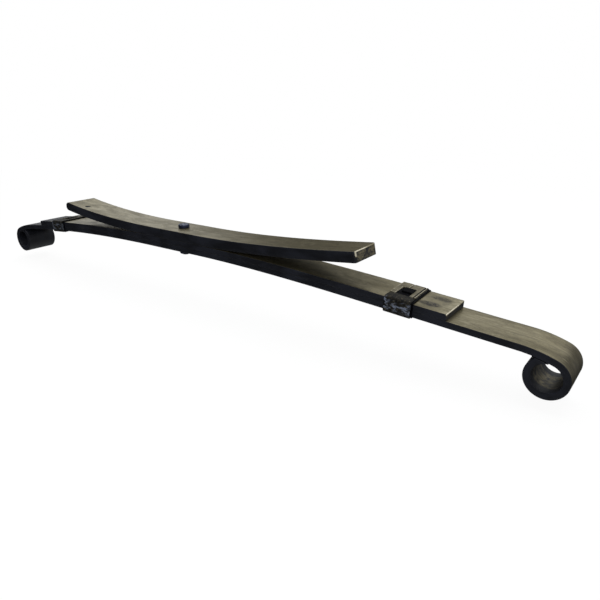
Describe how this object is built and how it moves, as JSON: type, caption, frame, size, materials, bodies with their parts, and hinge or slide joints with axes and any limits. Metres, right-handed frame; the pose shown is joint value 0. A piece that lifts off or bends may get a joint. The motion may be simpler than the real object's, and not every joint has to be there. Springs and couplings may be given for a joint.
{
  "type": "leaf spring",
  "caption": "Vehicle leaf spring: eyed main leaf and second leaf held by clips, thick overload leaf on top, centre bolt and nut.",
  "frame": {"origin": "on the centre-bolt axis at the flat top of the bolt's head, the point that the axle pad locates", "axes": "+Z along the centre bolt toward its head and the overload leaf, +X along the long rear arm, Y across the leaves"},
  "size_m": [0.8673, 0.0486, 0.1003],
  "materials": {
    "main_leaf_steel": "worn thin black finish over rolled spring steel, satin",
    "second_leaf_steel": "worn thin black finish over rolled spring steel, satin",
    "overload_leaf_steel": "worn thin black finish over rolled spring steel, satin",
    "bolt_steel": "blue-black oxide, satin",
    "strap_steel": "black finish, scuffed to bare steel on the bends",
    "liner_rubber": "matt black rubber"
  },
  "bodies": {
    "seat": {"main_leaf": "main_leaf_steel", "second_leaf": "second_leaf_steel", "overload_leaf": "overload_leaf_steel", "centre_bolt": "bolt_steel", "centre_bolt_nut": "bolt_steel"},
    "front_arm": {"front_clip_strap": "strap_steel", "front_clip_liner": "liner_rubber"},
    "rear_arm": {"rear_clip_strap": "strap_steel", "rear_clip_liner": "liner_rubber"}
  },
  "joints": [
    {"name": "front_arm_flex", "type": "hinge", "parent": "seat", "child": "front_arm", "pos_m": [-0.088, 0, -0.02342], "axis": [0, 1, 0], "range_deg": [-2, 7.4], "stiffness_Nm_per_rad": 200, "deforming": ["main_leaf", "second_leaf"]},
    {"name": "rear_arm_flex", "type": "hinge", "parent": "seat", "child": "rear_arm", "pos_m": [0.101, 0, -0.02392], "axis": [0, -1, 0], "range_deg": [-2, 8], "stiffness_Nm_per_rad": 200, "deforming": ["main_leaf", "second_leaf"]}
  ]
}
